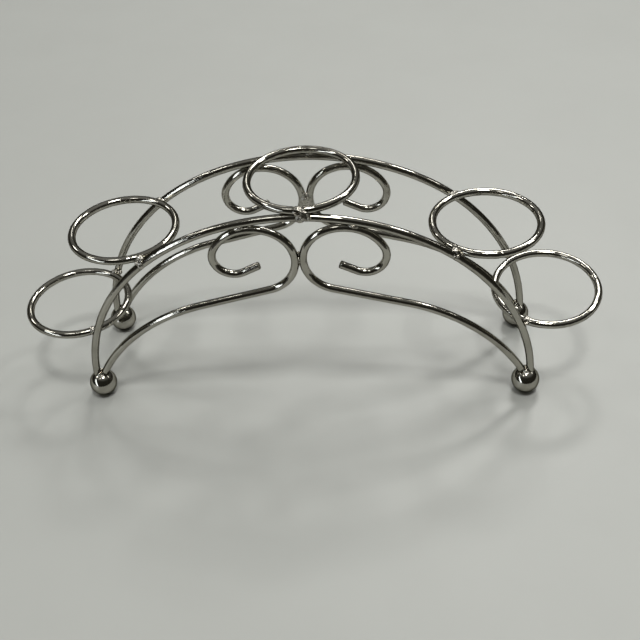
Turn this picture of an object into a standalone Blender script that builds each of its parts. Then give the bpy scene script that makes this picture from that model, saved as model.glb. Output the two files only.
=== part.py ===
"""Wire stand for five test tubes.

Two arches of round wire stand side by side on ball feet.  Five closed wire rings rest across
them, one on the crown and two on each flank, and each ring holds the top of one tube.  Four
scrolled wires rise from the feet to the middle and curl back under the arches.  Every place
where two wires touch carries a weld bead.

Axes: X runs along the stand, Y from front to rear, Z up.  The origin is on the surface that the
feet stand on, below the middle of the stand.  The dimensions below are in millimetres and the
angles in degrees.
"""

import math

import bmesh
import bpy
import numpy as np
from mathutils import Vector

MM = 0.001

# Stock and clearances
WIRE_DIAMETER = 2.7
BALL_DIAMETER = 10.0
FOOT_FLAT_DIAMETER = 2.4
GAP = 0.3
TOUCHING = WIRE_DIAMETER + GAP

# Layout
FOOT_SPACING = 157.0
ARCH_SPACING = 36.5
RING_DIAMETER = ARCH_SPACING

# Arch: a crown bend of the given half angle, then one leg bend that ends upright
CROWN_HEIGHT = 78.5
CROWN_HALF_ANGLE = 30.0

# Scroll, from its low end in the foot to its cut end: (radius, angle), left turns positive
SCROLL_LOW_END = 7.3
SCROLL_TOE = (8.0, -31.0)
SCROLL_RISE = (67.0, -43.7)
SCROLL_TURN_UP = (12.8, 136.0)
SCROLL_LOOP = (14.8, 92.5)
SCROLL_CURL = (7.0, 143.0)
SCROLL_TAIL = 5.8

# Flank rings: name, side, height of the ring's centre, lift of its rear edge
FLANK_RINGS = (
    ("lower_left", -1, 28.8, 0.0),
    ("upper_left", -1, 62.2, 0.0),
    ("upper_right", 1, 62.2, 0.0),
    ("lower_right", 1, 32.5, 5.0),
)

# The top ring was welded a little right of the middle, and its welds further right
TOP_RING_X = 1.0
TOP_WELD_X = 2.6

# Weld beads
RING_WELD_RADIUS = 2.3
CROWN_WELD_RADII = (3.4, 1.7, 2.6)
GROOVE_WELD_RADII = (2.8, 1.4, 1.8)

# Fineness of the solids
WIRE_SIDES = 8
STEP_ANGLE = 8.0
LONGEST_STEP = 12.0
RING_STEPS = 36
BALL_SEGMENTS, BALL_BANDS = 20, 12
BEAD_SEGMENTS, BEAD_BANDS = 12, 8

BALL_RADIUS = BALL_DIAMETER / 2.0
BALL_HEIGHT = math.sqrt(BALL_RADIUS ** 2 - (FOOT_FLAT_DIAMETER / 2.0) ** 2)


# ---------------------------------------------------------------- wire paths, in the XZ plane

def add_bend(points, heading, radius, degrees):
    """Continue a path round one bend, and return the heading that it ends with."""
    sweep = math.radians(degrees)
    by_angle = math.ceil(abs(degrees) / STEP_ANGLE)
    by_length = math.ceil(radius * abs(sweep) / LONGEST_STEP)
    steps = max(by_angle, by_length)
    turn = sweep / steps
    chord = 2.0 * radius * math.sin(abs(turn) / 2.0)
    x, z = points[-1]
    for _ in range(steps):
        x += chord * math.cos(heading + turn / 2.0)
        z += chord * math.sin(heading + turn / 2.0)
        heading += turn
        points.append((x, z))
    return heading


def add_straight(points, heading, length):
    """Continue a path in a straight line."""
    x, z = points[-1]
    points.append((x + length * math.cos(heading), z + length * math.sin(heading)))


def arch_radii():
    """The crown and leg radii that span the feet at the crown's height, tangent to each other."""
    half_span = FOOT_SPACING / 2.0 + TOUCHING / 2.0
    rise = CROWN_HEIGHT - BALL_HEIGHT
    angle = math.radians(CROWN_HALF_ANGLE)
    difference = (half_span - rise) / (math.cos(angle) + math.sin(angle) - 1.0)
    leg = half_span - difference * math.sin(angle)
    return leg + difference, leg


def arch_path():
    """One arch wire, from the middle of the left ball over the crown to the right ball."""
    crown, leg = arch_radii()
    left_half = [(0.0, CROWN_HEIGHT)]
    heading = add_bend(left_half, math.pi, crown, CROWN_HALF_ANGLE)
    add_bend(left_half, heading, leg, 90.0 - CROWN_HALF_ANGLE)
    right_half = [(-x, z) for x, z in left_half[1:]]
    return left_half[::-1] + right_half


def scroll_path():
    """The left scroll wire.  Its straight is as long as brings it beside its twin at X = 0."""
    points = [(TOUCHING / 2.0 - FOOT_SPACING / 2.0, SCROLL_LOW_END)]
    heading = add_bend(points, math.pi / 2.0, *SCROLL_TOE)
    heading = add_bend(points, heading, *SCROLL_RISE)
    turn_up_reach = SCROLL_TURN_UP[0] * (1.0 - math.sin(heading))
    reach = -TOUCHING / 2.0 - turn_up_reach - points[-1][0]
    add_straight(points, heading, reach / math.cos(heading))
    for bend in (SCROLL_TURN_UP, SCROLL_LOOP, SCROLL_CURL):
        heading = add_bend(points, heading, *bend)
    add_straight(points, heading, SCROLL_TAIL)
    return points


# ---------------------------------------------------------------- where wires meet

def in_plane(path, y):
    """A path's points as 3-D coordinates in the plane at y."""
    return np.array([(x, y, z) for x, z in path])


def refined(points, spacing=0.4):
    """The same line with points close together, for measuring distances."""
    steps = np.linalg.norm(np.diff(points, axis=0), axis=1)
    along = np.concatenate(([0.0], np.cumsum(steps)))
    count = int(along[-1] / spacing) + 2
    targets = np.linspace(0.0, along[-1], count)
    return np.column_stack([np.interp(targets, along, points[:, axis]) for axis in range(3)])


def ring_points(x, height, lift, count=360):
    """Points round a ring's centreline, its rear edge lifted by an angle."""
    radius = RING_DIAMETER / 2.0
    tilt = math.radians(lift)
    angles = np.linspace(0.0, math.tau, count, endpoint=False)
    across = radius * np.sin(angles)
    columns = (x + radius * np.cos(angles), across * math.cos(tilt), height + across * math.sin(tilt))
    return np.column_stack(columns)


def nearest(first, second):
    """The distance between two lines, and the point midway between them there."""
    offsets = first[:, None, :] - second[None, :, :]
    distances = np.linalg.norm(offsets, axis=2)
    i, j = np.unravel_index(distances.argmin(), distances.shape)
    return distances[i, j], (first[i] + second[j]) / 2.0


def resting_x(side, height, lift, arches):
    """How far out a flank ring's centre lies when the ring just rests on the arches."""
    near, far = side * RING_DIAMETER, side * FOOT_SPACING
    for _ in range(24):
        middle = (near + far) / 2.0
        ring = ring_points(middle, height, lift)
        clearance = min(nearest(ring, arch)[0] for arch in arches)
        if clearance > TOUCHING:
            far = middle
        else:
            near = middle
    return far


# ---------------------------------------------------------------- meshes and objects

def finish_mesh(bm, name):
    """Turn a bmesh into a smooth-shaded mesh with sharp edges at its cut ends."""
    bmesh.ops.recalc_face_normals(bm, faces=bm.faces)
    mesh = bpy.data.meshes.new(name)
    bm.to_mesh(mesh)
    bm.free()
    mesh.shade_smooth()
    mesh.set_sharp_from_angle(angle=math.radians(50.0))
    return mesh


def sweep(name, points, plane_normal, radius, closed=False):
    """A round tube of the radius along a flat path, with filled ends unless it is closed."""
    centres = [Vector(point) * MM for point in points]
    normal = Vector(plane_normal).normalized()
    last = len(centres) - 1
    bm = bmesh.new()
    sections = []
    for i, centre in enumerate(centres):
        before = centres[i - 1] if i > 0 or closed else centre
        after = centres[(i + 1) % len(centres)] if i < last or closed else centre
        sideways = normal.cross(after - before).normalized()
        section = []
        for k in range(WIRE_SIDES):
            angle = math.tau * (k + 0.5) / WIRE_SIDES
            offset = sideways * math.cos(angle) + normal * math.sin(angle)
            section.append(bm.verts.new(centre + offset * radius * MM))
        sections.append(section)
    following = sections[1:] + sections[:1] if closed else sections[1:]
    for here, there in zip(sections, following):
        for k in range(WIRE_SIDES):
            k_next = (k + 1) % WIRE_SIDES
            bm.faces.new((here[k], here[k_next], there[k_next], there[k]))
    if not closed:
        bm.faces.new(sections[0])
        bm.faces.new(sections[-1])
    return finish_mesh(bm, name)


def lengthened(points, extra):
    """A path carried on straight at both ends."""
    first = Vector(points[0]) + (Vector(points[0]) - Vector(points[1])).normalized() * extra
    last = Vector(points[-1]) + (Vector(points[-1]) - Vector(points[-2])).normalized() * extra
    return [first, *points, last]


def place(name, mesh, material, location=(0.0, 0.0, 0.0), turn=(0.0, 0.0, 0.0)):
    """Put a mesh in the scene as a named piece, at a location in millimetres."""
    piece = bpy.data.objects.new(name, mesh)
    piece.location = Vector(location) * MM
    piece.rotation_euler = turn
    bpy.context.scene.collection.objects.link(piece)
    if not mesh.materials:
        mesh.materials.append(material)
    return piece


def place_cutter(name, mesh, location=(0.0, 0.0, 0.0), turn=(0.0, 0.0, 0.0)):
    """Place a mesh that only cuts room for a wire in its neighbours."""
    cutter = place(name, mesh, None, location, turn)
    cutter.hide_render = True
    cutter.display_type = "WIRE"
    return cutter


def cut(piece, cutters):
    """Take each cutter's shape out of a piece."""
    for cutter in cutters:
        boolean = piece.modifiers.new(cutter.name, "BOOLEAN")
        boolean.operation = "DIFFERENCE"
        boolean.solver = "EXACT"
        boolean.object = cutter


def metal(name, colour, roughness):
    """A plated metal surface."""
    material = bpy.data.materials.new(name)
    material.use_nodes = True
    shader = material.node_tree.nodes["Principled BSDF"]
    shader.inputs["Base Color"].default_value = (*colour, 1.0)
    shader.inputs["Metallic"].default_value = 1.0
    shader.inputs["Roughness"].default_value = roughness
    material.diffuse_color = (*colour, 1.0)
    return material


# ---------------------------------------------------------------- sub-parts

def make_arches(path, plating):
    """The front and rear arch wires, and the cutters that follow them."""
    mesh = sweep("arch", in_plane(path, 0.0), (0.0, 1.0, 0.0), WIRE_DIAMETER / 2.0)
    long_path = lengthened(in_plane(path, 0.0).tolist(), GAP)
    room = sweep("arch_room", long_path, (0.0, 1.0, 0.0), WIRE_DIAMETER / 2.0 + GAP)
    cutters = {}
    for row, side in (("front", -1), ("rear", 1)):
        location = (0.0, side * ARCH_SPACING / 2.0, 0.0)
        place("arch_" + row, mesh, plating, location)
        cutters[row] = place_cutter("arch_room_" + row, room, location)
    return cutters


def make_scrolls(path, plating):
    """The four scroll wires, all bent alike, and the cutters that follow them."""
    mesh = sweep("scroll", in_plane(path, 0.0), (0.0, 1.0, 0.0), WIRE_DIAMETER / 2.0)
    long_path = lengthened(in_plane(path, 0.0).tolist(), GAP)
    room = sweep("scroll_room", long_path, (0.0, 1.0, 0.0), WIRE_DIAMETER / 2.0 + GAP)
    cutters = {}
    for row, side in (("front", -1), ("rear", 1)):
        for hand, turn in (("left", 0.0), ("right", math.pi)):
            name = row + "_" + hand
            location = (0.0, side * ARCH_SPACING / 2.0, 0.0)
            place("scroll_" + name, mesh, plating, location, (0.0, 0.0, turn))
            cutters[row, hand] = place_cutter("scroll_room_" + name, room, location, (0.0, 0.0, turn))
    return cutters


def make_rings(arches, plating):
    """The five rings.  Returns each one's centre and lift, and the cutter that follows it."""
    circle = ring_points(0.0, 0.0, 0.0, RING_STEPS)
    mesh = sweep("ring", circle, (0.0, 0.0, 1.0), WIRE_DIAMETER / 2.0, closed=True)
    room = sweep("ring_room", circle, (0.0, 0.0, 1.0), WIRE_DIAMETER / 2.0 + GAP, closed=True)
    seats = {"top": (TOP_RING_X, CROWN_HEIGHT + TOUCHING, 0.0)}
    for name, side, height, lift in FLANK_RINGS:
        seats[name] = (resting_x(side, height, lift, arches), height, lift)
    cutters = {}
    for name, (x, height, lift) in seats.items():
        turn = (math.radians(lift), 0.0, 0.0)
        place("ring_" + name, mesh, plating, (x, 0.0, height), turn)
        cutters[name] = place_cutter("ring_room_" + name, room, (x, 0.0, height), turn)
    return seats, cutters


def make_feet(arch_rooms, scroll_rooms, plating):
    """The ball feet: flat underneath, and socketed for the two wires that end in each."""
    for row, depth in (("front", -1), ("rear", 1)):
        for hand, side in (("left", -1), ("right", 1)):
            bm = bmesh.new()
            bmesh.ops.create_uvsphere(
                bm, u_segments=BALL_SEGMENTS, v_segments=BALL_BANDS, radius=BALL_RADIUS * MM)
            everything = bm.verts[:] + bm.edges[:] + bm.faces[:]
            underside = (0.0, 0.0, -BALL_HEIGHT * MM)
            bmesh.ops.bisect_plane(
                bm, geom=everything, plane_co=underside, plane_no=(0.0, 0.0, 1.0), clear_inner=True)
            rim = [edge for edge in bm.edges if edge.is_boundary]
            bmesh.ops.contextual_create(bm, geom=rim)
            name = row + "_" + hand
            location = (side * FOOT_SPACING / 2.0, depth * ARCH_SPACING / 2.0, BALL_HEIGHT)
            foot = place("foot_" + name, finish_mesh(bm, "foot_" + name), plating, location)
            cut(foot, (arch_rooms[row], scroll_rooms[row, hand]))


def make_bead(name, centre, radii, cutters, weld_metal, slope=0.0):
    """One bead of weld: a rounded lump with room cut in it for the wires that it joins."""
    bm = bmesh.new()
    bmesh.ops.create_uvsphere(bm, u_segments=BEAD_SEGMENTS, v_segments=BEAD_BANDS, radius=MM)
    bmesh.ops.scale(bm, vec=radii, verts=bm.verts)
    bead = place(name, finish_mesh(bm, name), weld_metal, centre, (0.0, slope, 0.0))
    cut(bead, cutters)


def make_ring_welds(seats, arches, arch_rooms, ring_rooms, weld_metal):
    """Two beads for each ring, where it crosses the front and the rear arch."""
    for name, (x, height, lift) in seats.items():
        ring = ring_points(x, height, lift)
        for row, depth in (("front", -1), ("rear", 1)):
            half_ring = ring[ring[:, 1] * depth > 0.0]
            touch = nearest(half_ring, arches[row])[1]
            radii = (RING_WELD_RADIUS,) * 3
            if name == "top":
                outer_face = depth * (ARCH_SPACING + WIRE_DIAMETER) / 2.0
                touch = np.array((TOP_WELD_X, outer_face, touch[2]))
                radii = CROWN_WELD_RADII
            rooms = (arch_rooms[row], ring_rooms[name])
            make_bead("weld_ring_" + name + "_" + row, touch, radii, rooms, weld_metal)


def make_groove_welds(scroll, arches, arch_rooms, scroll_rooms, weld_metal):
    """Beads on the inner face where scrolls touch, and on the outer face where loops meet arches."""
    for row, depth in (("front", -1), ("rear", 1)):
        inner_face = depth * (ARCH_SPACING - WIRE_DIAMETER) / 2.0
        outer_face = depth * (ARCH_SPACING + WIRE_DIAMETER) / 2.0
        innermost = max(scroll, key=lambda point: point[0])
        centre = (0.0, inner_face, innermost[1])
        rooms = (scroll_rooms[row, "left"], scroll_rooms[row, "right"])
        make_bead("weld_middle_" + row, centre, GROOVE_WELD_RADII, rooms, weld_metal, math.pi / 2.0)
        loop = refined(in_plane(scroll, depth * ARCH_SPACING / 2.0))
        loop = loop[loop[:, 2] > CROWN_HEIGHT * 0.75]
        touch = nearest(loop, arches[row])[1]
        slope = math.asin(-touch[0] / arch_radii()[0])
        for hand, side in (("left", -1), ("right", 1)):
            centre = (side * abs(touch[0]), outer_face, touch[2])
            rooms = (arch_rooms[row], scroll_rooms[row, hand])
            name = "weld_loop_" + row + "_" + hand
            make_bead(name, centre, GROOVE_WELD_RADII, rooms, weld_metal, side * slope)


def main():
    for leftover in list(bpy.data.objects):
        bpy.data.objects.remove(leftover, do_unlink=True)

    wire_plating = metal("plated_wire", (0.42, 0.41, 0.37), 0.10)
    ball_plating = metal("plated_ball", (0.44, 0.43, 0.39), 0.10)
    weld_metal = metal("weld_metal", (0.40, 0.385, 0.35), 0.30)

    arch = arch_path()
    scroll = scroll_path()
    arches = {
        "front": refined(in_plane(arch, -ARCH_SPACING / 2.0)),
        "rear": refined(in_plane(arch, ARCH_SPACING / 2.0)),
    }
    arch_rooms = make_arches(arch, wire_plating)
    scroll_rooms = make_scrolls(scroll, wire_plating)
    seats, ring_rooms = make_rings(list(arches.values()), wire_plating)
    make_feet(arch_rooms, scroll_rooms, ball_plating)
    make_ring_welds(seats, arches, arch_rooms, ring_rooms, weld_metal)
    make_groove_welds(scroll, arches, arch_rooms, scroll_rooms, weld_metal)


main()
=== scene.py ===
"""Looks of the wire stand: drawn wire, ball feet and melted weld beads, all nickel-plated.

The axes are the frame's: X along the stand, Y from front to rear, Z up.  Lengths are in
millimetres and angles in degrees, except where a comment says otherwise.  Pieces are built in
millimetres and written to their meshes in metres.
"""

import math
from types import SimpleNamespace

import bmesh
import bpy
import numpy as np
from mathutils import Matrix, Vector, noise


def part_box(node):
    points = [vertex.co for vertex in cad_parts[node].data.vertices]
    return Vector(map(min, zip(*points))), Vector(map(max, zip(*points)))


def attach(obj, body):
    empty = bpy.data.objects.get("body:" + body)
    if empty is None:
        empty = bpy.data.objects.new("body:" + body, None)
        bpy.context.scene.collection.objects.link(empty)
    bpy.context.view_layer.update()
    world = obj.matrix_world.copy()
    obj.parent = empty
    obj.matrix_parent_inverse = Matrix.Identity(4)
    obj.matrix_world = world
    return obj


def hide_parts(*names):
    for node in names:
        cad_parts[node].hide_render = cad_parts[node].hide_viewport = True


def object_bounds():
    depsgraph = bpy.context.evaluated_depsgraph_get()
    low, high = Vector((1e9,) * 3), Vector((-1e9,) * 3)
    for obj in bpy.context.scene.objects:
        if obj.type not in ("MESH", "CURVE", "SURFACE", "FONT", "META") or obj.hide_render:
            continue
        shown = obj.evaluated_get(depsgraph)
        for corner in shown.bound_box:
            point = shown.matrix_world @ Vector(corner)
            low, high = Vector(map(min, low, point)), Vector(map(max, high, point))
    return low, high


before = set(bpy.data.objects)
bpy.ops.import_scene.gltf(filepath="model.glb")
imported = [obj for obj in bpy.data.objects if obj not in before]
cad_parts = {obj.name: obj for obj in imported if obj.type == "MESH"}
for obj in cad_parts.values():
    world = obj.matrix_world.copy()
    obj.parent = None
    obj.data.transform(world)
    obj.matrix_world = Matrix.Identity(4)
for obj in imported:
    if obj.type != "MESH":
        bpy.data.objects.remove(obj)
cad_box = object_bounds()

# Without a seed, Blender's vector noise differs from run to run.
noise.seed_set(1)

MM = 0.001
ROWS = (("front", -1), ("rear", 1))
HANDS = (("left", -1), ("right", 1))
RING_NAMES = ("lower_left", "upper_left", "top", "upper_right", "lower_right")

# Bends that repeat the CAD wires: (radius, angle), left turns positive
CROWN_HALF_ANGLE = 30.0
SCROLL_LOW_END = 7.3
SCROLL_TOE = (8.0, -31.0)
SCROLL_RISE = (67.0, -43.7)
SCROLL_TURN_UP = (12.8, 136.0)
SCROLL_LOOP = (14.8, 92.5)
SCROLL_CURL = (7.0, 143.0)
SCROLL_TAIL = 5.8

# Fineness of the drawn wire
WIRE_SIDES = 32
WIRE_STEP = 0.45
END_CHAMFER = 0.18


# ---------------------------------------------------------------- dimensions from the frame

def box_mm(node):
    """A CAD node's lowest and highest corners in millimetres."""
    low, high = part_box(node)
    return Vector(low) / MM, Vector(high) / MM


def read_stand():
    """The stand's driving dimensions, from the boxes of its CAD nodes."""
    low, high = box_mm("ring_top")
    half_thickness = (high.z - low.z) / 2.0
    ring_radius = (high.x - low.x) / 2.0 - half_thickness
    # The CAD wires have eight sides and a flat on top, so their half thickness is the apothem.
    wire_radius = half_thickness / math.cos(math.pi / 8.0)

    arch_low, arch_high = box_mm("arch_rear")
    foot_low, foot_high = box_mm("foot_rear_right")
    half_span = (arch_high.x - arch_low.x) / 2.0 - half_thickness
    foot_x = (foot_low.x + foot_high.x) / 2.0
    stand = SimpleNamespace(
        wire_radius=wire_radius,
        ring_radius=ring_radius,
        half_span=half_span,
        depth=(arch_low.y + arch_high.y) / 2.0,
        crown_height=arch_high.z - half_thickness,
        foot_x=foot_x,
        ball_radius=(foot_high.x - foot_low.x) / 2.0,
        ball_height=arch_low.z,
        gap=2.0 * (half_span - foot_x) - 2.0 * wire_radius,
    )
    angle = math.radians(CROWN_HALF_ANGLE)
    rise = stand.crown_height - stand.ball_height
    difference = (half_span - rise) / (math.cos(angle) + math.sin(angle) - 1.0)
    stand.leg_radius = half_span - difference * math.sin(angle)
    stand.crown_radius = stand.leg_radius + difference
    stand.seats = {}
    for name in RING_NAMES:
        low, high = box_mm("ring_" + name)
        lift = math.asin(((high.z - low.z) / 2.0 - half_thickness) / ring_radius)
        stand.seats[name] = SimpleNamespace(centre=(low + high) / 2.0, lift=lift)
    return stand


# ---------------------------------------------------------------- wire paths, in the XZ plane

def add_bend(points, heading, radius, degrees):
    """Continue a path round one bend in short steps, and return the heading it ends with."""
    sweep = math.radians(degrees)
    steps = math.ceil(radius * abs(sweep) / WIRE_STEP)
    turn = sweep / steps
    chord = 2.0 * radius * math.sin(abs(turn) / 2.0)
    x, z = points[-1]
    for _ in range(steps):
        x += chord * math.cos(heading + turn / 2.0)
        z += chord * math.sin(heading + turn / 2.0)
        heading += turn
        points.append((x, z))
    return heading


def add_straight(points, heading, length):
    """Continue a path in a straight line of short steps."""
    x, z = points[-1]
    steps = math.ceil(length / WIRE_STEP)
    for i in range(1, steps + 1):
        reach = length * i / steps
        points.append((x + reach * math.cos(heading), z + reach * math.sin(heading)))


def arch_path(stand):
    """One arch, from the middle of the left ball over the crown to the right ball."""
    left_half = [(0.0, stand.crown_height)]
    heading = add_bend(left_half, math.pi, stand.crown_radius, CROWN_HALF_ANGLE)
    add_bend(left_half, heading, stand.leg_radius, 90.0 - CROWN_HALF_ANGLE)
    right_half = [(-x, z) for x, z in left_half[1:]]
    return left_half[::-1] + right_half


def scroll_path(stand):
    """The left scroll, and the centres of its turn-up and loop bends.

    It lies half a gap nearer the middle and a gap higher than its CAD wire, so that it touches.
    """
    x = -stand.foot_x + stand.wire_radius + stand.gap
    points = [(x, SCROLL_LOW_END + stand.gap)]
    heading = add_bend(points, math.pi / 2.0, *SCROLL_TOE)
    heading = add_bend(points, heading, *SCROLL_RISE)
    turn_up_radius, loop_radius = SCROLL_TURN_UP[0], SCROLL_LOOP[0]
    reach = -stand.wire_radius - turn_up_radius * (1.0 - math.sin(heading)) - points[-1][0]
    add_straight(points, heading, reach / math.cos(heading))
    turn_up = left_of(points[-1], heading, turn_up_radius)
    heading = add_bend(points, heading, *SCROLL_TURN_UP)
    loop = left_of(points[-1], heading, loop_radius)
    heading = add_bend(points, heading, *SCROLL_LOOP)
    heading = add_bend(points, heading, *SCROLL_CURL)
    add_straight(points, heading, SCROLL_TAIL)
    return points, turn_up, loop


def left_of(point, heading, distance):
    """The point at a distance to the left of a heading."""
    return point[0] - distance * math.sin(heading), point[1] + distance * math.cos(heading)


def in_plane(path, y, side=1.0):
    """A flat path as 3-D points in the plane at y, mirrored for side -1."""
    return np.array([(side * x, y, z) for x, z in path])


def circle_points(centre, radius, lift, count):
    """Points round a ring, starting at its right and going over its rear edge."""
    angles = np.linspace(0.0, math.tau, count, endpoint=False)
    across = radius * np.sin(angles)
    columns = (
        centre[0] + radius * np.cos(angles),
        centre[1] + across * math.cos(lift),
        centre[2] + across * math.sin(lift),
    )
    return np.column_stack(columns)


def nearest(first, second):
    """The two points, one on each line, where the lines are closest."""
    distances = np.linalg.norm(first[:, None, :] - second[None, :, :], axis=2)
    i, j = np.unravel_index(distances.argmin(), distances.shape)
    return first[i], second[j]


# ---------------------------------------------------------------- meshes

def make_mesh(name, vertices, faces, sharp_angle=35.0):
    """A smooth mesh in metres from vertices in millimetres, sharp where faces meet steeply."""
    mesh = bpy.data.meshes.new(name)
    mesh.from_pydata((np.asarray(vertices) * MM).tolist(), [], faces)
    bm = bmesh.new()
    bm.from_mesh(mesh)
    bmesh.ops.recalc_face_normals(bm, faces=bm.faces)
    bm.to_mesh(mesh)
    bm.free()
    mesh.shade_smooth()
    mesh.set_sharp_from_angle(angle=math.radians(sharp_angle))
    return mesh


def add_piece(name, mesh, material, cad_node, heat):
    """Put a piece on the stand in place of its CAD node.

    A value from 0 to 1 per vertex: on a wire or ball it is the heat that tints it, and on a weld it
    is painted shade that blackens the weld's hollows.
    """
    piece = bpy.data.objects.new(name, mesh)
    bpy.context.scene.collection.objects.link(piece)
    mesh.materials.append(material)
    mesh.attributes.new("heat", "FLOAT", "POINT").data.foreach_set("value", heat)
    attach(piece, "root")
    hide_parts(cad_node)


def heat_near(vertices, weld_places, reach=3.4):
    """How strongly each vertex was heated by the welds, from 0 to 1."""
    offsets = np.asarray(vertices)[:, None, :] - np.asarray(weld_places)[None, :, :]
    distances = np.linalg.norm(offsets, axis=2).min(axis=1)
    return np.exp(-(distances / reach) ** 2)


def lengths_along(points):
    """How far along a path each of its points lies."""
    steps = np.linalg.norm(np.diff(points, axis=0), axis=1)
    return np.concatenate(([0.0], np.cumsum(steps)))


def wavy(points, seed, amount=0.07, wavelength=23.0):
    """The path of a hand-bent wire: it strays a little from the ideal line."""
    lane = seed * 7.31
    strays = [noise.noise_vector((s / wavelength, lane, 0.5)) for s in lengths_along(points)]
    return points + np.array([tuple(stray) for stray in strays]) * amount


def wire_mesh(name, points, plane_normal, radius, closed=False, swell=None):
    """A drawn wire along a path.  Open ends are cut square with a small chamfer.

    The mesh keeps each vertex's place along and round the wire for the drawing lines.
    """
    tangents = np.gradient(points, axis=0)
    if closed:
        tangents = np.roll(points, -1, axis=0) - np.roll(points, 1, axis=0)
    tangents /= np.linalg.norm(tangents, axis=1)[:, None]
    sideways = np.cross(plane_normal, tangents)
    sideways /= np.linalg.norm(sideways, axis=1)[:, None]
    normals = np.cross(tangents, sideways)
    along = lengths_along(points)
    radii = np.full(len(points), radius)
    if swell is not None:
        radii = radii * swell(along)
    if not closed:
        points, sideways, normals, along, radii = chamfered(
            points, tangents, sideways, normals, along, radii)

    angles = np.arange(WIRE_SIDES) * math.tau / WIRE_SIDES
    around = (np.cos(angles)[None, :, None] * sideways[:, None, :]
              + np.sin(angles)[None, :, None] * normals[:, None, :])
    vertices = (points[:, None, :] + around * radii[:, None, None]).reshape(-1, 3)
    place = np.empty((len(points), WIRE_SIDES, 3))
    place[:, :, 0] = along[:, None]
    place[:, :, 1] = np.cos(angles) * radius
    place[:, :, 2] = np.sin(angles) * radius
    place = place.reshape(-1, 3)

    count = len(points)
    faces = []
    for i in range(count if closed else count - 1):
        here, there = i * WIRE_SIDES, (i + 1) % count * WIRE_SIDES
        for k in range(WIRE_SIDES):
            k_next = (k + 1) % WIRE_SIDES
            faces.append((here + k, here + k_next, there + k_next, there + k))
    if not closed:
        faces.append(tuple(range(WIRE_SIDES)))
        faces.append(tuple(range((count - 1) * WIRE_SIDES, count * WIRE_SIDES)))
    mesh = make_mesh(name, vertices, faces)
    mesh.attributes.new("wire_place", "FLOAT_VECTOR", "POINT").data.foreach_set(
        "vector", place.ravel())
    return mesh, vertices


def chamfered(points, tangents, sideways, normals, along, radii):
    """The sections of an open wire with a narrower one added beyond each end."""
    first = points[0] - tangents[0] * END_CHAMFER
    last = points[-1] + tangents[-1] * END_CHAMFER
    points = np.vstack((first, points, last))
    sideways = np.vstack((sideways[0], sideways, sideways[-1]))
    normals = np.vstack((normals[0], normals, normals[-1]))
    along = np.concatenate(([along[0] - END_CHAMFER], along, [along[-1] + END_CHAMFER]))
    radii = np.concatenate(([radii[0] - END_CHAMFER], radii, [radii[-1] - END_CHAMFER]))
    return points, sideways, normals, along, radii


# ---------------------------------------------------------------- melted shapes

def arc_distance(points, arc):
    """The distance from each point to the circle that an arc of wire follows."""
    offsets = points - np.asarray(arc.centre)
    height = offsets @ np.asarray(arc.axis)
    flat = np.linalg.norm(offsets - height[:, None] * np.asarray(arc.axis), axis=1)
    return np.hypot(flat - arc.radius, height)


def sleeve(points, arc, touch, wire_radius, reach):
    """A skin of weld metal on a wire: a little proud near the weld, below the wire's face beyond."""
    fade_start, proud, sunk = 0.35, 1.03, 0.5
    away = np.linalg.norm(points - np.asarray(touch), axis=1)
    fade = np.clip((away - fade_start * reach) / reach, 0.0, 1.0)
    fade = fade * fade * (3.0 - 2.0 * fade)
    return arc_distance(points, arc) - wire_radius * (proud - sunk * fade)


def ellipsoid(points, centre, radii, slope=0.0):
    """Roughly the distance from each point to an ellipsoid, turned about Y by the slope."""
    turned = np.array(Matrix.Rotation(-slope, 3, "Y"))
    offsets = (points - np.asarray(centre)) @ turned.T / np.asarray(radii)
    return (np.linalg.norm(offsets, axis=1) - 1.0) * min(radii)


def join(first, second, softness):
    """The union of two distances with a fillet of about the softness."""
    blend = np.clip(0.5 + 0.5 * (second - first) / softness, 0.0, 1.0)
    return second * (1.0 - blend) + first * blend - softness * blend * (1.0 - blend)


def hollow(distance, tool, softness):
    """A distance with a tool's shape taken out of it, rounded at the rim."""
    return -join(-distance, tool, softness)


def surface_along(origin, directions, field, limit, step=0.12, halvings=12):
    """How far along each direction the field is first zero, going out from the origin."""
    inside = np.zeros(len(directions))
    outside = np.full(len(directions), limit)
    open_rays = np.ones(len(directions), dtype=bool)
    for reach in np.arange(step, limit, step):
        still_inside = field(origin + directions * reach) < 0.0
        leaving = open_rays & ~still_inside
        outside[leaving] = reach
        inside[leaving] = reach - step
        open_rays &= still_inside
    for _ in range(halvings):
        middle = (inside + outside) / 2.0
        within = field(origin + directions * middle[:, None]) < 0.0
        inside = np.where(within, middle, inside)
        outside = np.where(within, outside, middle)
    return inside


def ball_directions(subdivisions, finer_above=None):
    """Evenly spread directions and the triangles between them, finer above a height."""
    bm = bmesh.new()
    bmesh.ops.create_icosphere(bm, subdivisions=subdivisions, radius=1.0)
    if finer_above is not None:
        edges = [e for e in bm.edges if min(v.co.z for v in e.verts) > finer_above]
        bmesh.ops.subdivide_edges(bm, edges=edges, cuts=1, use_grid_fill=True)
        bmesh.ops.triangulate(bm, faces=bm.faces)
    directions = np.array([tuple(v.co.normalized()) for v in bm.verts])
    faces = [tuple(v.index for v in face.verts) for face in bm.faces]
    bm.free()
    return directions, faces


def lumps(vertices, seed, size):
    """Smooth random heights from about -1 to 1 at the vertices."""
    shift = Vector((seed * 3.7, seed * 1.9, seed * 5.3))
    return np.array([noise.noise(Vector(v) / size + shift) for v in vertices])


# ---------------------------------------------------------------- materials

def new_material(name):
    """An empty node material with its shader and output joined."""
    material = bpy.data.materials.new(name)
    material.use_nodes = True
    tree = material.node_tree
    shader = tree.nodes["Principled BSDF"]
    return material, tree, shader


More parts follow.
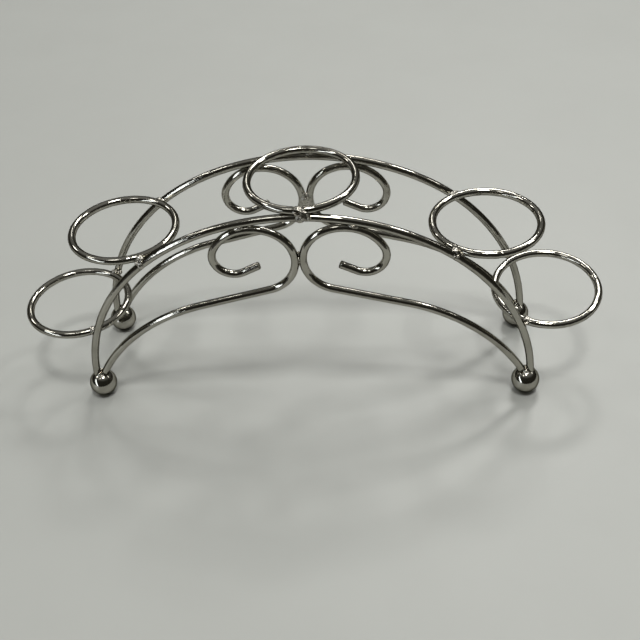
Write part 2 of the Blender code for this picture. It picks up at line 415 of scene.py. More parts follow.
def texture(tree, kind, vector, scale, **settings):
    """A procedural texture node on the given coordinates."""
    node = tree.nodes.new("ShaderNodeTex" + kind)
    node.inputs["Scale"].default_value = scale
    for key, value in settings.items():
        node.inputs[key].default_value = value
    tree.links.new(vector, node.inputs["Vector"])
    return node.outputs[0]


def stretched(tree, vector, stretch):
    """Coordinates scaled differently along each axis."""
    node = tree.nodes.new("ShaderNodeVectorMath")
    node.operation = "MULTIPLY"
    node.inputs[1].default_value = stretch
    tree.links.new(vector, node.inputs[0])
    return node.outputs[0]


def remap(tree, value, from_low, from_high, to_low, to_high):
    """A value mapped smoothly from one range to another."""
    node = tree.nodes.new("ShaderNodeMapRange")
    node.interpolation_type = "SMOOTHSTEP"
    for key, number in (("From Min", from_low), ("From Max", from_high),
                        ("To Min", to_low), ("To Max", to_high)):
        node.inputs[key].default_value = number
    tree.links.new(value, node.inputs["Value"])
    return node.outputs["Result"]


def combine(tree, operation, first, second):
    """One maths operation on two values, either of which may be a plain number."""
    node = tree.nodes.new("ShaderNodeMath")
    node.operation = operation
    for socket, value in zip(node.inputs, (first, second)):
        if isinstance(value, (int, float)):
            socket.default_value = value
        else:
            tree.links.new(value, socket)
    return node.outputs[0]


def mixed(tree, factor, first, second):
    """A colour mixed between two, each a colour or another node's output."""
    node = tree.nodes.new("ShaderNodeMix")
    node.data_type = "RGBA"
    tree.links.new(factor, node.inputs["Factor"])
    colour_inputs = [s for s in node.inputs if s.type == "RGBA"]
    for socket, value in zip(colour_inputs, (first, second)):
        if isinstance(value, tuple):
            socket.default_value = (*value, 1.0)
        else:
            tree.links.new(value, socket)
    return next(s for s in node.outputs if s.type == "RGBA")


def attribute(tree, name, output):
    """A value stored on the mesh."""
    node = tree.nodes.new("ShaderNodeAttribute")
    node.attribute_type = "GEOMETRY"
    node.attribute_name = name
    return node.outputs[output]


def bump(tree, height, distance, strength, below=None):
    """A bumped normal.  The distance is in metres."""
    node = tree.nodes.new("ShaderNodeBump")
    node.inputs["Strength"].default_value = strength
    node.inputs["Distance"].default_value = distance
    tree.links.new(height, node.inputs["Height"])
    if below is not None:
        tree.links.new(below, node.inputs["Normal"])
    return node.outputs["Normal"]


def object_place(tree):
    """The place on the object in millimetres."""
    node = tree.nodes.new("ShaderNodeTexCoord")
    return stretched(tree, node.outputs["Object"], (1000.0, 1000.0, 1000.0))


# Colours, as linear red, green and blue
NICKEL = (0.435, 0.42, 0.373)
NICKEL_DULL = (0.325, 0.31, 0.265)
STRAW_TINT = (0.36, 0.325, 0.25)
SCALE_BROWN = (0.14, 0.115, 0.09)
WELD_BRIGHT = (0.52, 0.50, 0.45)
# Near black, painted into the welds' hollows as painted shade
HOLLOW_SHADE_BLACK = (0.035, 0.03, 0.026)
EDGE_TINT = (0.06, 0.055, 0.05, 1.0)
FLOOR_GREY = (0.52, 0.533, 0.508)
FLOOR_PALE = (0.56, 0.575, 0.55)
CARD_BLACK = (0.03, 0.028, 0.024)
CARD_GREY = (0.05, 0.046, 0.04)


def wire_finish():
    """Bright nickel over drawn wire: drawing lines, cloudy polish, specks and heat tint."""
    material, tree, shader = new_material("plated_wire_finish")
    place = object_place(tree)
    wire_place = attribute(tree, "wire_place", "Vector")
    heat = attribute(tree, "heat", "Fac")

    drawn = texture(tree, "Noise", stretched(tree, wire_place, (0.05, 3.0, 3.0)), 2.2,
                    Detail=4.0, Roughness=0.6)
    cloud = texture(tree, "Noise", place, 0.12, Detail=3.0, Roughness=0.55)
    grit = texture(tree, "Noise", place, 2.6, Detail=2.0, Roughness=0.5)

    dull = remap(tree, cloud, 0.42, 0.68, 0.0, 0.6)
    colour = mixed(tree, dull, NICKEL, NICKEL_DULL)
    ragged = combine(tree, "MULTIPLY", heat, remap(tree, grit, 0.3, 0.65, 0.55, 1.25))
    colour = mixed(tree, remap(tree, ragged, 0.12, 0.55, 0.0, 0.6), colour, STRAW_TINT)
    colour = mixed(tree, remap(tree, ragged, 0.6, 1.1, 0.0, 0.3), colour, SCALE_BROWN)
    tree.links.new(colour, shader.inputs["Base Color"])

    polish = remap(tree, cloud, 0.35, 0.7, 0.025, 0.065)
    polish = combine(tree, "ADD", polish, remap(tree, drawn, 0.35, 0.75, 0.0, 0.03))
    polish = combine(tree, "ADD", polish, remap(tree, ragged, 0.2, 0.9, 0.0, 0.08))
    tree.links.new(polish, shader.inputs["Roughness"])

    lines = bump(tree, drawn, 0.00003, 0.5)
    dents = bump(tree, texture(tree, "Noise", place, 0.45, Detail=2.0), 0.00013, 0.45, lines)
    tree.links.new(dents, shader.inputs["Normal"])
    shader.inputs["Metallic"].default_value = 1.0
    shader.inputs["Specular Tint"].default_value = EDGE_TINT
    return material


def ball_finish():
    """Bright nickel over a turned ball, a little scuffed, with heat tint round the wires."""
    material, tree, shader = new_material("plated_ball_finish")
    place = object_place(tree)
    heat = attribute(tree, "heat", "Fac")
    cloud = texture(tree, "Noise", place, 0.35, Detail=3.0, Roughness=0.55)
    scuff = texture(tree, "Noise", stretched(tree, place, (1.0, 1.0, 5.0)), 1.8, Detail=5.0)

    colour = mixed(tree, remap(tree, cloud, 0.42, 0.7, 0.0, 0.5), NICKEL, NICKEL_DULL)
    colour = mixed(tree, remap(tree, heat, 0.25, 0.9, 0.0, 0.45), colour, STRAW_TINT)
    tree.links.new(colour, shader.inputs["Base Color"])

    polish = combine(tree, "ADD", remap(tree, cloud, 0.35, 0.7, 0.07, 0.15),
                     remap(tree, scuff, 0.5, 0.75, 0.0, 0.04))
    polish = combine(tree, "ADD", polish, remap(tree, heat, 0.2, 0.9, 0.0, 0.06))
    tree.links.new(polish, shader.inputs["Roughness"])
    tree.links.new(bump(tree, scuff, 0.00002, 0.4), shader.inputs["Normal"])
    shader.inputs["Metallic"].default_value = 1.0
    shader.inputs["Specular Tint"].default_value = EDGE_TINT
    return material


def weld_finish():
    """Plated weld metal: brighter than the wire, rough and pitted, brown in places, and painted near
    black in its hollows as painted shade.
    """
    material, tree, shader = new_material("weld_metal_finish")
    place = object_place(tree)
    hollow_shade = attribute(tree, "heat", "Fac")
    patch = texture(tree, "Noise", place, 0.8, Detail=4.0, Roughness=0.6)
    grain = texture(tree, "Noise", place, 1.1, Detail=2.0, Roughness=0.5)
    pits = texture(tree, "Voronoi", place, 1.0, Randomness=1.0)

    colour = mixed(tree, remap(tree, patch, 0.45, 0.68, 0.0, 0.7), WELD_BRIGHT, STRAW_TINT)
    colour = mixed(tree, remap(tree, pits, 0.0, 0.20, 0.8, 0.0), colour, SCALE_BROWN)
    # Painted shade: the weld's hollows are painted near black.
    colour = mixed(tree, remap(tree, hollow_shade, 0.2, 0.9, 0.0, 0.95), colour, HOLLOW_SHADE_BLACK)
    tree.links.new(colour, shader.inputs["Base Color"])

    polish = combine(tree, "ADD", remap(tree, grain, 0.3, 0.7, 0.20, 0.34),
                     remap(tree, pits, 0.0, 0.2, 0.15, 0.0))
    polish = combine(tree, "ADD", polish, remap(tree, hollow_shade, 0.2, 0.9, 0.0, 0.5))
    tree.links.new(polish, shader.inputs["Roughness"])
    rough = bump(tree, grain, 0.0005, 0.8)
    rough = bump(tree, remap(tree, pits, 0.0, 0.3, 0.0, 1.0), 0.0002, 0.6, rough)
    tree.links.new(rough, shader.inputs["Normal"])
    shader.inputs["Metallic"].default_value = 1.0
    shader.inputs["Specular Tint"].default_value = EDGE_TINT
    return material


def floor_finish():
    """A pale laminate with a faint mottle."""
    material, tree, shader = new_material("pale_floor")
    place = object_place(tree)
    mottle = texture(tree, "Noise", place, 0.02, Detail=4.0, Roughness=0.6)
    grain = texture(tree, "Noise", place, 0.9, Detail=3.0)
    colour = mixed(tree, mottle, FLOOR_GREY, FLOOR_PALE)
    tree.links.new(colour, shader.inputs["Base Color"])
    tree.links.new(remap(tree, grain, 0.3, 0.7, 0.42, 0.52), shader.inputs["Roughness"])
    tree.links.new(bump(tree, grain, 0.00005, 0.2), shader.inputs["Normal"])
    return material


# ---------------------------------------------------------------- pieces

def arcs_of(stand, turn_up, loop):
    """The arcs near the welds, for each row: the crown, the legs, the scrolls' bends."""
    across = (0.0, 1.0, 0.0)
    arcs = {}
    for row, depth in ROWS:
        y = depth * stand.depth
        crown_centre = (0.0, y, stand.crown_height - stand.crown_radius)
        arcs[row, "crown"] = SimpleNamespace(
            centre=crown_centre, axis=across, radius=stand.crown_radius)
        for hand, side in HANDS:
            leg_centre = (side * (stand.half_span - stand.leg_radius), y, stand.ball_height)
            arcs[row, "leg", hand] = SimpleNamespace(
                centre=leg_centre, axis=across, radius=stand.leg_radius)
            toe_x = -stand.foot_x + stand.wire_radius + stand.gap + SCROLL_TOE[0]
            arcs[row, "toe", hand] = SimpleNamespace(
                centre=(-side * toe_x, y, SCROLL_LOW_END + stand.gap), axis=across,
                radius=SCROLL_TOE[0])
            arcs[row, "turn_up", hand] = SimpleNamespace(
                centre=(-side * turn_up[0], y, turn_up[1]), axis=across,
                radius=SCROLL_TURN_UP[0])
            arcs[row, "loop", hand] = SimpleNamespace(
                centre=(-side * loop[0], y, loop[1]), axis=across, radius=SCROLL_LOOP[0])
    return arcs


def settle_rings(stand, arches):
    """Move each ring down the gap that its CAD node keeps, and find where it touches."""
    touches = {}
    for name, seat in stand.seats.items():
        ring = circle_points(seat.centre, stand.ring_radius, seat.lift, count=720)
        meetings = {}
        for row, depth in ROWS:
            meetings[row] = nearest(ring[ring[:, 1] * depth > 0.0], arches[row])
        if name == "top":
            # The top ring runs along the arches here, so its welds say where they are joined.
            for row, depth in ROWS:
                weld_low, weld_high = box_mm("weld_ring_top_" + row)
                x = (weld_low.x + weld_high.x) / 2.0
                on_ring = np.array((x, depth * stand.ring_radius, seat.centre.z))
                on_arch = np.array((x, depth * stand.depth, stand.crown_height))
                meetings[row] = (on_ring, on_arch)
        spans = {row: np.linalg.norm(a - b) for row, (a, b) in meetings.items()}
        row = min(spans, key=spans.get)
        on_ring, on_arch = meetings[row]
        drop = (on_ring - on_arch) / spans[row] * (spans[row] - 2.0 * stand.wire_radius)
        drop[1] = 0.0
        seat.centre = seat.centre - Vector(drop)
        for row in meetings:
            on_ring, on_arch = meetings[row]
            touches[name, row] = (on_ring - drop + on_arch) / 2.0
    return touches


def ring_arc(stand, seat):
    """The circle that a ring follows."""
    axis = (0.0, -math.sin(seat.lift), math.cos(seat.lift))
    return SimpleNamespace(centre=tuple(seat.centre), axis=axis, radius=stand.ring_radius)


def make_arches(stand, path, weld_places, finish):
    """The front and rear arches."""
    for seed, (row, depth) in enumerate(ROWS, start=1):
        points = wavy(in_plane(path, depth * stand.depth), seed)
        mesh, vertices = wire_mesh("arch_" + row, points, (0.0, 1.0, 0.0), stand.wire_radius)
        add_piece("wire_arch_" + row, mesh, finish, "arch_" + row,
                  heat_near(vertices, weld_places))


def make_scrolls(stand, path, weld_places, finish):
    """The four scrolled wires."""
    seed = 10
    for row, depth in ROWS:
        for hand, side in HANDS:
            seed += 1
            points = wavy(in_plane(path, depth * stand.depth, -side), seed)
            name = row + "_" + hand
            mesh, vertices = wire_mesh("scroll_" + name, points, (0.0, 1.0, 0.0),
                                       stand.wire_radius)
            add_piece("wire_scroll_" + name, mesh, finish, "scroll_" + name,
                      heat_near(vertices, weld_places))


# How far a ring strays from a true circle, and over what length it does so
RING_STRAY = 0.08
RING_STRAY_LENGTH = 26.0

# Where each ring's wire was closed: degrees round from its right-hand side, over the rear
RING_JOINTS = {
    "lower_left": -78.0,
    "upper_left": -72.0,
    "top": 93.0,
    "upper_right": -80.0,
    "lower_right": -74.0,
}


def joint_swell(length, place):
    """How a closed ring's thickness varies: a bulge at its butt joint with a groove in it."""
    bulge, bulge_reach = 0.05, 1.5
    groove, groove_reach = 0.09, 0.45

    def swell(along):
        offset = np.abs((along - place + length / 2.0) % length - length / 2.0)
        return (1.0 + bulge * np.exp(-(offset / bulge_reach) ** 2)
                - groove * np.exp(-(offset / groove_reach) ** 2))
    return swell


def make_rings(stand, weld_places, finish):
    """The five rings, each closed by a butt joint."""
    length = math.tau * stand.ring_radius
    count = round(length / WIRE_STEP)
    for seed, (name, seat) in enumerate(stand.seats.items(), start=20):
        points = circle_points(seat.centre, stand.ring_radius, seat.lift, count)
        lane = Vector((seed, 0.0, 0.0))
        strays = [noise.noise_vector(Vector(p) / RING_STRAY_LENGTH + lane) for p in points]
        points = points + np.array([tuple(stray) for stray in strays]) * RING_STRAY
        place = length * (RING_JOINTS[name] % 360.0) / 360.0
        mesh, vertices = wire_mesh("ring_" + name, points, ring_arc(stand, seat).axis,
                                   stand.wire_radius, closed=True,
                                   swell=joint_swell(length, place))
        add_piece("wire_ring_" + name, mesh, finish, "ring_" + name,
                  heat_near(vertices, weld_places))


# A foot's metal: how far it is drawn up the wires, how softly it runs into them, and the beads
# in front of and behind the wires
FOOT_SLEEVE_REACH = 1.9
FOOT_FILLET = 0.55
FOOT_BEAD_RADII = (0.8, 0.65, 0.7)
FOOT_BEAD_FILLET = 0.4


def foot_distance(points, stand, centre, leg, toe):
    """The distance to a ball with metal drawn up round two wires, cut off level with the floor."""
    top = centre + (0.0, 0.0, stand.ball_radius)
    ball = np.linalg.norm(points - centre, axis=1) - stand.ball_radius
    above = points[:, 2] > centre[2]
    sleeves = np.minimum(sleeve(points, leg, top, stand.wire_radius, FOOT_SLEEVE_REACH),
                         sleeve(points, toe, top, stand.wire_radius, FOOT_SLEEVE_REACH))
    shape = join(ball, np.where(above, sleeves, 1.0), FOOT_FILLET)
    for lean in (-1.0, 1.0):
        place = top + (0.15 * lean, 1.15 * lean, 0.1)
        shape = join(shape, ellipsoid(points, place, FOOT_BEAD_RADII), FOOT_BEAD_FILLET)
    return np.maximum(shape, -points[:, 2])


def make_feet(stand, arcs, finish):
    """The ball feet, their metal drawn up round the two wires that end in each."""
    directions, faces = ball_directions(6, finer_above=0.55)
    lump_size, lump_height, lump_zone = 0.7, 0.07, 1.2
    seed = 30
    for row, depth in ROWS:
        for hand, side in HANDS:
            seed += 1
            centre = np.array((side * stand.foot_x, depth * stand.depth, stand.ball_height))
            top = centre + (0.0, 0.0, stand.ball_radius)
            leg, toe = arcs[row, "leg", hand], arcs[row, "toe", hand]

            def foot(points):
                return foot_distance(points, stand, centre, leg, toe)

            reach = surface_along(centre, directions, foot, 1.8 * stand.ball_radius)
            vertices = centre + directions * reach[:, None]
            rises = np.clip((vertices[:, 2] - top[2] + lump_zone) / lump_zone, 0.0, 1.0)
            lump = lumps(vertices, seed, lump_size) * lump_height * rises
            vertices = vertices + directions * lump[:, None]
            name = row + "_" + hand
            mesh = make_mesh("foot_" + name, vertices, faces, sharp_angle=60.0)
            add_piece("ball_foot_" + name, mesh, finish, "foot_" + name,
                      heat_near(vertices, [top], reach=3.0))


# How softly weld metal runs together: wire to wire in millimetres, a lump into the rest as a
# part of its own size, and the rim of a hollow in millimetres
WIRE_FILLET = 0.5
LUMP_FILLET = 0.32
HOLLOW_RIM = 0.12

# How far from a weld's middle its raggedness dies away
RAGGED_REACH = 2.6

# The painted shade in a hollow is full to half a fade beyond the hollow's shape, and gone a fade
# further
HOLLOW_SHADE_FADE = 0.35


def make_bead(name, cad_node, touch, wires, blobs, seed, stand, finish, hollows=(), reach=2.0,
              lumpiness=1.0):
    """A weld: lumps melted over two wires where they touch, with raggedness, and hollows painted
    dark as painted shade.
    """
    directions, faces = ball_directions(6)
    origin = touch * 0.6 + np.asarray(blobs[0].centre) * 0.4

    def field(points):
        skins = [sleeve(points, arc, touch, stand.wire_radius, reach) for arc in wires]
        shape = join(skins[0], skins[1], WIRE_FILLET)
        for lump in blobs:
            bead = ellipsoid(points, lump.centre, lump.radii, lump.slope)
            shape = join(shape, bead, LUMP_FILLET * min(lump.radii))
        for pit in hollows:
            tool = ellipsoid(points, pit.centre, pit.radii, pit.slope)
            shape = hollow(shape, tool, HOLLOW_RIM)
        return shape

    far = 3.0 * stand.wire_radius + reach
    lengths = surface_along(origin, directions, field, far)
    vertices = origin + directions * lengths[:, None]
    # Painted shade: vertices in and near the hollows get a value that paints them near black.
    hollow_shade = np.zeros(len(vertices))
    for pit in hollows:
        depth_inside = -ellipsoid(vertices, pit.centre, pit.radii, pit.slope)
        hollow_shade = np.maximum(hollow_shade, np.clip(depth_inside / HOLLOW_SHADE_FADE + 1.5, 0.0, 1.0))
    nearness = np.exp(-(np.linalg.norm(vertices - touch, axis=1) / RAGGED_REACH) ** 4)
    coarse = lumps(vertices, seed, 1.2) * 0.30
    fine = lumps(vertices, seed + 5, 0.6) * 0.10
    relief = (coarse + fine) * nearness * lumpiness * (1.0 - hollow_shade)
    vertices = vertices + directions * relief[:, None]
    mesh = make_mesh(name, vertices, faces, sharp_angle=75.0)
    add_piece(name, mesh, finish, cad_node, hollow_shade)


def blob(centre, radii, slope=0.0):
    """One rounded lump of weld metal, or the shape of a hollow in it.  The slope is in radians."""
    return SimpleNamespace(centre=np.asarray(centre, float), radii=radii, slope=slope)


def spatter(centre, distance, outward, count, radius):
    """Small round lumps spread over the outward side of a weld."""
    facing = Vector(outward).to_track_quat("Z", "Y")
    golden_angle = math.radians(137.5)
    covered = 0.8
    drops = []
    for i in range(count):
        height = 1.0 - covered * (i + 0.5) / count
        across = math.sqrt(1.0 - height * height)
        turn = i * golden_angle
        place = facing @ Vector((across * math.cos(turn), across * math.sin(turn), height))
        drops.append(blob(centre + np.array(place) * distance, (radius, radius, radius)))
    return drops


# The side of the front welds that shows
FRONT_AND_UP = (0.0, -0.75, 0.66)

# Front welds that differ from the rest: where their metal lies from the wires' touch, how far it
# ran down, and how large they are beside the others
WELD_SHIFTS = {
    "upper_right": (-2.6, 0.0, 1.0),
    "lower_left": (-1.0, 1.2, 0.3),
    "lower_right": (1.0, 1.2, 0.3),
}
WELD_DROOPS = {"upper_left": 0.9}
WELD_SIZES = {"lower_left": 0.75, "lower_right": 0.85}


def top_weld(touch):
    """The front weld of the top ring: metal heaped over both wires with a gash across it, painted
    dark as painted shade.
    """
    face = touch + (0.0, -1.0, 0.0)
    lumps_of_metal = [
        blob(face + (-1.2, 0.5, 1.3), (2.0, 1.75, 1.65)),
        blob(face + (-0.9, -0.4, -0.9), (1.6, 1.1, 1.5), 0.2),
        blob(face + (0.5, -0.1, 0.3), (1.7, 1.4, 1.6)),
        blob(face + (1.4, -0.1, -0.6), (1.5, 1.0, 1.0), 0.5),
    ]
    lumps_of_metal += spatter(face + (-0.3, 0.0, 0.7), 1.8, FRONT_AND_UP, 5, 0.5)
    hollows = [
        blob(face + (-1.9, -0.6, 1.8), (1.6, 0.6, 0.55), 0.45),
        blob(face + (0.4, -1.75, 0.75), (2.7, 1.3, 0.6), 0.8),
    ]
    return lumps_of_metal, hollows


def front_weld(name, touch, side):
    """The front weld of another ring: a ragged nugget with small bright lumps on it."""
    spot = touch + WELD_SHIFTS.get(name, (0.0, 0.0, 0.0))
    droop = WELD_DROOPS.get(name, 0.0)
    size = WELD_SIZES.get(name, 1.0)
    lumps_of_metal = [
        blob(spot + (0.0, -0.7, 0.0), (1.6 * size, 1.7 * size, 1.7 * size)),
        blob(spot + (-side * 0.1, -1.0 - droop, -droop), (1.2 * size, 1.1 * size, 1.3 * size)),
        blob(spot + (side * 0.2, -0.2, 1.4 * size), (1.3 * size, 1.2 * size, 0.8 * size)),
    ]
    drops_centre = spot + (0.0, -0.9, -0.3 * droop)
    lumps_of_metal += spatter(drops_centre, 1.5 * size, FRONT_AND_UP, 7, 0.65 * size)
    hollows = [blob(spot + (side * 0.2, -2.0, 1.2), (1.2, 0.6, 0.55), side * 0.4)]
    return lumps_of_metal, hollows


def rear_weld(name, touch, side):
    """A rear weld: a smooth fillet that runs out along the arch."""
    if name == "top":
        return [blob(touch + (0.0, 0.6, 0.0), (1.8, 1.2, 1.3))], []
    lumps_of_metal = [
        blob(touch + (0.0, 0.3, 0.0), (1.9, 1.6, 1.6)),
        blob(touch + (-side * 1.6, 0.0, 0.6), (1.3, 0.9, 0.9)),
    ]
    lumps_of_metal += spatter(touch, 1.5, (-side * 0.6, -0.5, 0.6), 3, 0.55)
    return lumps_of_metal, []


def make_ring_beads(stand, arcs, touches, finish):
    """Two welds for each ring."""
    crown_limit = stand.crown_radius * math.sin(math.radians(CROWN_HALF_ANGLE))
    seed = 40
    for name, seat in stand.seats.items():
        for row, _ in ROWS:
            seed += 1
            touch = touches[name, row]
            hand = "left" if touch[0] < 0.0 else "right"
            side = -1.0 if hand == "left" else 1.0
            arch = arcs[row, "crown"] if abs(touch[0]) < crown_limit else arcs[row, "leg", hand]
            if row == "rear":
                blobs, hollows = rear_weld(name, touch, side)
            elif name == "top":
                blobs, hollows = top_weld(touch)
            else:
                blobs, hollows = front_weld(name, touch, side)
            make_bead("bead_ring_" + name + "_" + row, "weld_ring_" + name + "_" + row, touch,
                      (ring_arc(stand, seat), arch), blobs, seed, stand, finish, hollows,
                      lumpiness=0.4 if row == "rear" else 1.0)


def make_groove_beads(stand, arcs, loop_touches, finish):
    """Welds between the scrolls of each pair, and between each loop and its arch."""
    seed = 60
    for row, depth in ROWS:
        seed += 1
        middle = arcs[row, "turn_up", "left"]
        touch = np.array((0.0, depth * stand.depth, middle.centre[2]))
        face = touch + (0.0, -depth, 0.0)
        hollows = (blob(face + (0.3, -depth * 0.9, 1.5), (0.5, 0.8, 0.5)),)
        wires = (middle, arcs[row, "turn_up", "right"])
        blobs = (blob(face, (2.2, 0.95, 3.0)),)
        make_bead("bead_middle_" + row, "weld_middle_" + row, touch, wires, blobs, seed, stand,
                  finish, hollows, lumpiness=0.3)
        for hand, side in HANDS:
            seed += 1
            touch = loop_touches[row, hand]
            slope = math.asin(touch[0] / stand.crown_radius)
            face = touch + (0.0, depth, 0.0)
            wires = (arcs[row, "crown"], arcs[row, "loop", hand])
            blobs = (blob(face, (1.6, 0.55, 0.7), slope),)
            name = row + "_" + hand
            make_bead("bead_loop_" + name, "weld_loop_" + name, touch, wires, blobs, seed, stand,
                      finish, reach=0.7, lumpiness=0.1)


# ------------------------------------------------- floor, lights and camera, all in metres

FLOOR_RADIUS = 1.3


def make_floor():
    """A wide pale floor."""
    bm = bmesh.new()
    bmesh.ops.create_circle(bm, cap_ends=True, segments=96, radius=FLOOR_RADIUS)
    mesh = bpy.data.meshes.new("floor")
    bm.to_mesh(mesh)
    bm.free()
    mesh.materials.append(floor_finish())
    floor = bpy.data.objects.new("floor", mesh)
    bpy.context.scene.collection.objects.link(floor)


def make_dark_card():
    """A dark card on the floor in front, seen only in the metal, as the edge of a table would be."""
    near, far, half_width, height = -0.16, -1.2, 1.2, 0.0005
    corners = [(-half_width, far, height), (half_width, far, height),
               (half_width, near, height), (-half_width, near, height)]
    mesh = bpy.data.meshes.new("dark_card")
    mesh.from_pydata(corners, [], [(0, 1, 2, 3)])
    material, tree, shader = new_material("dark_card")
    mottle = texture(tree, "Noise", object_place(tree), 0.01, Detail=3.0)
    colour = mixed(tree, mottle, CARD_BLACK, CARD_GREY)
    tree.links.new(colour, shader.inputs["Base Color"])
    shader.inputs["Roughness"].default_value = 0.9
    mesh.materials.append(material)
    card = bpy.data.objects.new("dark_card", mesh)
    card.visible_camera = False
    card.visible_diffuse = False
    card.visible_shadow = False
    bpy.context.scene.collection.objects.link(card)


# Soft ceiling lamps: name, metres across and back for each metre of height, watts
LAMPS = (
    ("lamp_overhead", 0.10, -0.22, 9.0),
    ("lamp_behind", 0.12, 0.87, 7.5),
    ("lamp_behind_right", 0.32, 0.97, 4.9),
    ("lamp_right_behind", 0.49, 0.75, 1.8),
    ("lamp_right", 0.72, 0.45, 6.3),
    ("lamp_far_right", 1.16, 0.31, 1.6),
    ("lamp_far_behind", -0.22, 1.33, 1.8),
    ("lamp_behind_left", -1.15, 0.75, 3.4),
    ("lamp_left", -0.80, 0.05, 2.6),
    ("lamp_front_left", -0.32, -0.36, 1.3),
)
LAMP_HEIGHT = 1.7
LAMP_WIDTH = 0.30
LAMP_COLOUR = (1.0, 0.992, 0.965)

# The window to the front left: its middle, length and height, the line it runs along, and watts
WINDOW_PLACE = (-1.50, -1.15, 0.66)
WINDOW_SIZES = (1.9, 0.26)
WINDOW_ALONG = (-0.28, 0.56, 0.56)
WINDOW_POWER = 8.0
DAYLIGHT = (0.87, 0.93, 1.0)

# The room's tones: its walls to the front and rear, its ceiling, and what the camera sees of it
FRONT_WALLS = (0.026, 0.025, 0.020)
REAR_WALLS = (0.045, 0.045, 0.040)
CEILING = (0.25, 0.25, 0.24)
BACKDROP = (0.34, 0.34, 0.32, 1.0)


def make_light(name, place, sizes, power, colour=LAMP_COLOUR, along=(1.0, 0.0, 0.0)):
    """A rectangular light that faces the stand, with its length along a line."""
    data = bpy.data.lights.new(name, "AREA")
    data.shape = "RECTANGLE"
    data.size, data.size_y = sizes
    data.energy = power
    data.color = colour
    light = bpy.data.objects.new(name, data)
    away = Vector(place).normalized()
    across = Vector(along) - away * away.dot(Vector(along))
    across.normalize()
    turn = Matrix((across, away.cross(across), away)).transposed().to_4x4()
    light.matrix_world = Matrix.Translation(place) @ turn
    light.visible_camera = False
    bpy.context.scene.collection.objects.link(light)
    return light


def make_lights():
    """Soft ceiling lamps, and a window that only the metal reflects."""
    for name, across, back, power in LAMPS:
        place = (across * LAMP_HEIGHT, back * LAMP_HEIGHT, LAMP_HEIGHT)
        make_light(name, place, (LAMP_WIDTH, LAMP_WIDTH), power)
    window = make_light("window", WINDOW_PLACE, WINDOW_SIZES, WINDOW_POWER, DAYLIGHT,
                        WINDOW_ALONG)
    window.visible_diffuse = False


def make_room():
    """A dark room with a dim ceiling for the metal to reflect, and a plain grey backdrop."""
    world = bpy.data.worlds.new("room")
    world.use_nodes = True
    tree = world.node_tree
    around = tree.nodes.new("ShaderNodeTexCoord")
    direction = tree.nodes.new("ShaderNodeSeparateXYZ")
    tree.links.new(around.outputs["Generated"], direction.inputs[0])
    to_rear = remap(tree, direction.outputs["Y"], 0.4, 0.95, 0.0, 1.0)
    walls = mixed(tree, to_rear, FRONT_WALLS, REAR_WALLS)
    # The ceiling's light reaches lower to the rear than to the front.
    leaning = combine(tree, "MULTIPLY", direction.outputs["Y"], 0.3)
    to_ceiling = combine(tree, "ADD", direction.outputs["Z"], leaning)
    to_ceiling = remap(tree, to_ceiling, 0.42, 0.95, 0.0, 1.0)
    colour = mixed(tree, to_ceiling, walls, CEILING)
    room = tree.nodes["Background"]
    tree.links.new(colour, room.inputs["Color"])
    backdrop = tree.nodes.new("ShaderNodeBackground")
    backdrop.inputs["Color"].default_value = BACKDROP
    choose = tree.nodes.new("ShaderNodeMixShader")
    rays = tree.nodes.new("ShaderNodeLightPath")
    tree.links.new(rays.outputs["Is Camera Ray"], choose.inputs["Fac"])
    tree.links.new(room.outputs[0], choose.inputs[1])
    tree.links.new(backdrop.outputs[0], choose.inputs[2])
    tree.links.new(choose.outputs[0], tree.nodes["World Output"].inputs["Surface"])
    bpy.context.scene.world = world


# The camera's angles in degrees, its distance in lengths of the stand, and its lens in
# millimetres.  It aims a little right of the stand's middle, at a part of its half height.
CAMERA_AZIMUTH = 6.16
CAMERA_ELEVATION = 41.46
CAMERA_ROLL = -4.79
CAMERA_DISTANCE = 1.7013
CAMERA_LENS = 53.88
AIM_RIGHT = 0.0038
AIM_HEIGHT = 0.4415


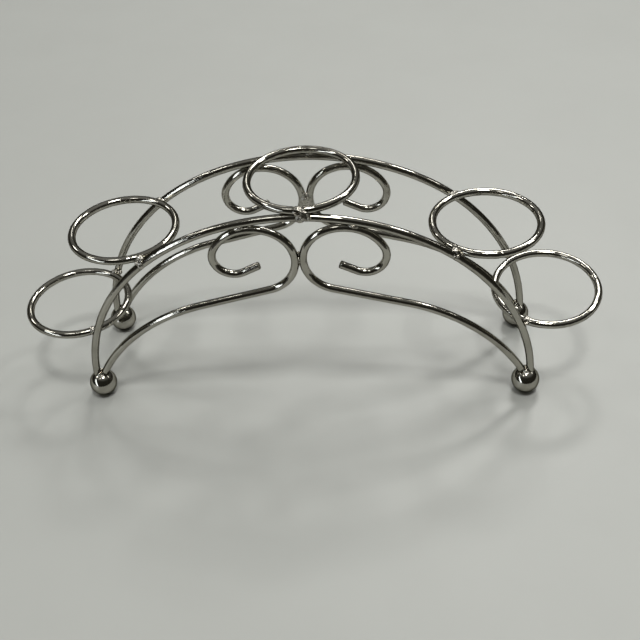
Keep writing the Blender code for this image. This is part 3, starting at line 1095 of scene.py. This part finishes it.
def make_camera():
    """The camera, above the front of the stand and rolled a little."""
    low, high = cad_box
    middle = (low + high) / 2.0
    azimuth = math.radians(CAMERA_AZIMUTH)
    elevation = math.radians(CAMERA_ELEVATION)
    roll = math.radians(CAMERA_ROLL)
    distance = CAMERA_DISTANCE * (high.x - low.x)
    target = Vector((middle.x + AIM_RIGHT, 0.0, AIM_HEIGHT * middle.z))
    back = Vector((math.sin(azimuth) * math.cos(elevation),
                   -math.cos(azimuth) * math.cos(elevation), math.sin(elevation)))
    right = (-back).cross(Vector((0.0, 0.0, 1.0))).normalized()
    up = right.cross(-back)
    rolled_right = math.cos(roll) * right + math.sin(roll) * up
    rolled_up = -math.sin(roll) * right + math.cos(roll) * up
    data = bpy.data.cameras.new("camera")
    data.sensor_width = 36.0
    data.lens = CAMERA_LENS
    data.clip_start = 0.01
    camera = bpy.data.objects.new("camera", data)
    turn = Matrix((rolled_right, rolled_up, back)).transposed()
    camera.matrix_world = Matrix.Translation(target + back * distance) @ turn.to_4x4()
    bpy.context.scene.collection.objects.link(camera)
    bpy.context.scene.camera = camera
    bpy.context.scene.view_settings.view_transform = "Standard"


# ---------------------------------------------------------------- the whole stand

def build():
    """All pieces of the stand, settled against each other and welded."""
    stand = read_stand()
    arch = arch_path(stand)
    scroll, turn_up, loop = scroll_path(stand)
    arcs = arcs_of(stand, turn_up, loop)
    arches = {row: in_plane(arch, depth * stand.depth) for row, depth in ROWS}
    touches = settle_rings(stand, arches)

    lowest = stand.crown_height * 0.75
    loop_touches = {}
    for row, depth in ROWS:
        for hand, side in HANDS:
            wire = in_plane(scroll, depth * stand.depth, -side)
            near_arch = wire[wire[:, 2] > lowest]
            on_loop, on_arch = nearest(near_arch, arches[row])
            loop_touches[row, hand] = (on_loop + on_arch) / 2.0

    feet = [np.array((side * stand.foot_x, depth * stand.depth,
                      stand.ball_height + stand.ball_radius))
            for row, depth in ROWS for hand, side in HANDS]
    weld_places = [*touches.values(), *feet]

    wire = wire_finish()
    ball = ball_finish()
    weld = weld_finish()
    make_arches(stand, arch, weld_places, wire)
    make_scrolls(stand, scroll, weld_places, wire)
    make_rings(stand, weld_places, wire)
    make_feet(stand, arcs, ball)
    make_ring_beads(stand, arcs, touches, weld)
    make_groove_beads(stand, arcs, loop_touches, weld)


build()
make_floor()
make_dark_card()
make_lights()
make_room()
make_camera()

bpy.context.view_layer.update()
